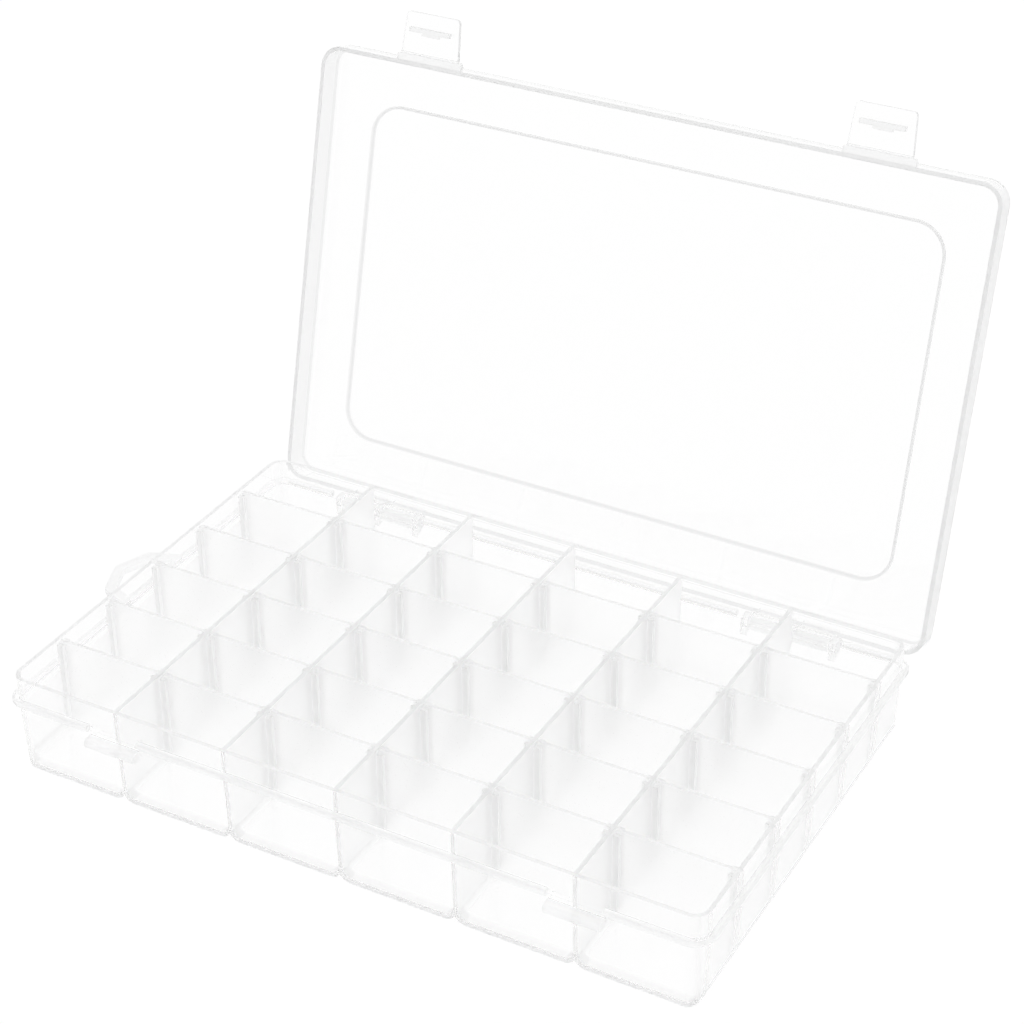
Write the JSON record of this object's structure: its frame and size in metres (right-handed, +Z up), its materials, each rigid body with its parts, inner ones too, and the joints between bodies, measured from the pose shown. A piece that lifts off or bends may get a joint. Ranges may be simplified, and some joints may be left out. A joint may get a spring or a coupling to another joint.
{
  "type": "bead storage box",
  "caption": "Flat clear plastic compartment box for beads, with a hinged lid, two latch flaps, loose lift-out dividers and a hanging loop.",
  "frame": {"origin": "on the table under the middle of the tray", "axes": "+X along the box's length to the right, +Y from the latch side to the hinge side, +Z up"},
  "size_m": [0.2883, 0.234, 0.213],
  "materials": {
    "clear_plastic": "gloss",
    "divider_plastic": "satin"
  },
  "bodies": {
    "tray": {"tray": "clear_plastic"},
    "lid": {"lid": "clear_plastic"},
    "latch_left": {"latch_left": "clear_plastic"},
    "latch_right": {"latch_right": "clear_plastic"},
    "divider_c1_r1": {"divider_c1_r1": "divider_plastic"},
    "divider_c1_r2": {"divider_c1_r2": "divider_plastic"},
    "divider_c1_r3": {"divider_c1_r3": "divider_plastic"},
    "divider_c1_r4": {"divider_c1_r4": "divider_plastic"},
    "divider_c1_r5": {"divider_c1_r5": "divider_plastic"},
    "divider_c2_r1": {"divider_c2_r1": "divider_plastic"},
    "divider_c2_r2": {"divider_c2_r2": "divider_plastic"},
    "divider_c2_r3": {"divider_c2_r3": "divider_plastic"},
    "divider_c2_r4": {"divider_c2_r4": "divider_plastic"},
    "divider_c2_r5": {"divider_c2_r5": "divider_plastic"},
    "divider_c3_r1": {"divider_c3_r1": "divider_plastic"},
    "divider_c3_r2": {"divider_c3_r2": "divider_plastic"},
    "divider_c3_r3": {"divider_c3_r3": "divider_plastic"},
    "divider_c3_r4": {"divider_c3_r4": "divider_plastic"},
    "divider_c3_r5": {"divider_c3_r5": "divider_plastic"},
    "divider_c4_r1": {"divider_c4_r1": "divider_plastic"},
    "divider_c4_r2": {"divider_c4_r2": "divider_plastic"},
    "divider_c4_r3": {"divider_c4_r3": "divider_plastic"},
    "divider_c4_r4": {"divider_c4_r4": "divider_plastic"},
    "divider_c4_r5": {"divider_c4_r5": "divider_plastic"},
    "divider_c5_r1": {"divider_c5_r1": "divider_plastic"},
    "divider_c5_r2": {"divider_c5_r2": "divider_plastic"},
    "divider_c5_r3": {"divider_c5_r3": "divider_plastic"},
    "divider_c5_r4": {"divider_c5_r4": "divider_plastic"},
    "divider_c5_r5": {"divider_c5_r5": "divider_plastic"},
    "divider_c6_r1": {"divider_c6_r1": "divider_plastic"},
    "divider_c6_r2": {"divider_c6_r2": "divider_plastic"},
    "divider_c6_r3": {"divider_c6_r3": "divider_plastic"},
    "divider_c6_r4": {"divider_c6_r4": "divider_plastic"},
    "divider_c6_r5": {"divider_c6_r5": "divider_plastic"}
  },
  "joints": [
    {"name": "lid_hinge", "type": "hinge", "parent": "tray", "child": "lid", "pos_m": [0, 0.0886, 0.0256], "axis": [-1, 0, 0], "range_deg": [-104, 0]},
    {"name": "latch_left_fold", "type": "hinge", "parent": "lid", "child": "latch_left", "pos_m": [-0.09, 0.1365, 0.19788], "axis": [-1, 0, 0], "range_deg": [-90, 0]},
    {"name": "latch_right_fold", "type": "hinge", "parent": "lid", "child": "latch_right", "pos_m": [0.09, 0.1365, 0.19788], "axis": [-1, 0, 0], "range_deg": [-90, 0]},
    {"name": "divider_c1_r1_lift", "type": "slide", "parent": "tray", "child": "divider_c1_r1", "axis": [0, 0, 1], "range_m": [0, 0.045]},
    {"name": "divider_c1_r2_lift", "type": "slide", "parent": "tray", "child": "divider_c1_r2", "axis": [0, 0, 1], "range_m": [0, 0.045]},
    {"name": "divider_c1_r3_lift", "type": "slide", "parent": "tray", "child": "divider_c1_r3", "axis": [0, 0, 1], "range_m": [0, 0.045]},
    {"name": "divider_c1_r4_lift", "type": "slide", "parent": "tray", "child": "divider_c1_r4", "axis": [0, 0, 1], "range_m": [0, 0.045]},
    {"name": "divider_c1_r5_lift", "type": "slide", "parent": "tray", "child": "divider_c1_r5", "axis": [0, 0, 1], "range_m": [0, 0.045]},
    {"name": "divider_c2_r1_lift", "type": "slide", "parent": "tray", "child": "divider_c2_r1", "axis": [0, 0, 1], "range_m": [0, 0.045]},
    {"name": "divider_c2_r2_lift", "type": "slide", "parent": "tray", "child": "divider_c2_r2", "axis": [0, 0, 1], "range_m": [0, 0.045]},
    {"name": "divider_c2_r3_lift", "type": "slide", "parent": "tray", "child": "divider_c2_r3", "axis": [0, 0, 1], "range_m": [0, 0.045]},
    {"name": "divider_c2_r4_lift", "type": "slide", "parent": "tray", "child": "divider_c2_r4", "axis": [0, 0, 1], "range_m": [0, 0.045]},
    {"name": "divider_c2_r5_lift", "type": "slide", "parent": "tray", "child": "divider_c2_r5", "axis": [0, 0, 1], "range_m": [0, 0.045]},
    {"name": "divider_c3_r1_lift", "type": "slide", "parent": "tray", "child": "divider_c3_r1", "axis": [0, 0, 1], "range_m": [0, 0.045]},
    {"name": "divider_c3_r2_lift", "type": "slide", "parent": "tray", "child": "divider_c3_r2", "axis": [0, 0, 1], "range_m": [0, 0.045]},
    {"name": "divider_c3_r3_lift", "type": "slide", "parent": "tray", "child": "divider_c3_r3", "axis": [0, 0, 1], "range_m": [0, 0.045]},
    {"name": "divider_c3_r4_lift", "type": "slide", "parent": "tray", "child": "divider_c3_r4", "axis": [0, 0, 1], "range_m": [0, 0.045]},
    {"name": "divider_c3_r5_lift", "type": "slide", "parent": "tray", "child": "divider_c3_r5", "axis": [0, 0, 1], "range_m": [0, 0.045]},
    {"name": "divider_c4_r1_lift", "type": "slide", "parent": "tray", "child": "divider_c4_r1", "axis": [0, 0, 1], "range_m": [0, 0.045]},
    {"name": "divider_c4_r2_lift", "type": "slide", "parent": "tray", "child": "divider_c4_r2", "axis": [0, 0, 1], "range_m": [0, 0.045]},
    {"name": "divider_c4_r3_lift", "type": "slide", "parent": "tray", "child": "divider_c4_r3", "axis": [0, 0, 1], "range_m": [0, 0.045]},
    {"name": "divider_c4_r4_lift", "type": "slide", "parent": "tray", "child": "divider_c4_r4", "axis": [0, 0, 1], "range_m": [0, 0.045]},
    {"name": "divider_c4_r5_lift", "type": "slide", "parent": "tray", "child": "divider_c4_r5", "axis": [0, 0, 1], "range_m": [0, 0.045]},
    {"name": "divider_c5_r1_lift", "type": "slide", "parent": "tray", "child": "divider_c5_r1", "axis": [0, 0, 1], "range_m": [0, 0.045]},
    {"name": "divider_c5_r2_lift", "type": "slide", "parent": "tray", "child": "divider_c5_r2", "axis": [0, 0, 1], "range_m": [0, 0.045]},
    {"name": "divider_c5_r3_lift", "type": "slide", "parent": "tray", "child": "divider_c5_r3", "axis": [0, 0, 1], "range_m": [0, 0.045]},
    {"name": "divider_c5_r4_lift", "type": "slide", "parent": "tray", "child": "divider_c5_r4", "axis": [0, 0, 1], "range_m": [0, 0.045]},
    {"name": "divider_c5_r5_lift", "type": "slide", "parent": "tray", "child": "divider_c5_r5", "axis": [0, 0, 1], "range_m": [0, 0.045]},
    {"name": "divider_c6_r1_lift", "type": "slide", "parent": "tray", "child": "divider_c6_r1", "axis": [0, 0, 1], "range_m": [0, 0.045]},
    {"name": "divider_c6_r2_lift", "type": "slide", "parent": "tray", "child": "divider_c6_r2", "axis": [0, 0, 1], "range_m": [0, 0.045]},
    {"name": "divider_c6_r3_lift", "type": "slide", "parent": "tray", "child": "divider_c6_r3", "axis": [0, 0, 1], "range_m": [0, 0.045]},
    {"name": "divider_c6_r4_lift", "type": "slide", "parent": "tray", "child": "divider_c6_r4", "axis": [0, 0, 1], "range_m": [0, 0.045]},
    {"name": "divider_c6_r5_lift", "type": "slide", "parent": "tray", "child": "divider_c6_r5", "axis": [0, 0, 1], "range_m": [0, 0.045]}
  ]
}
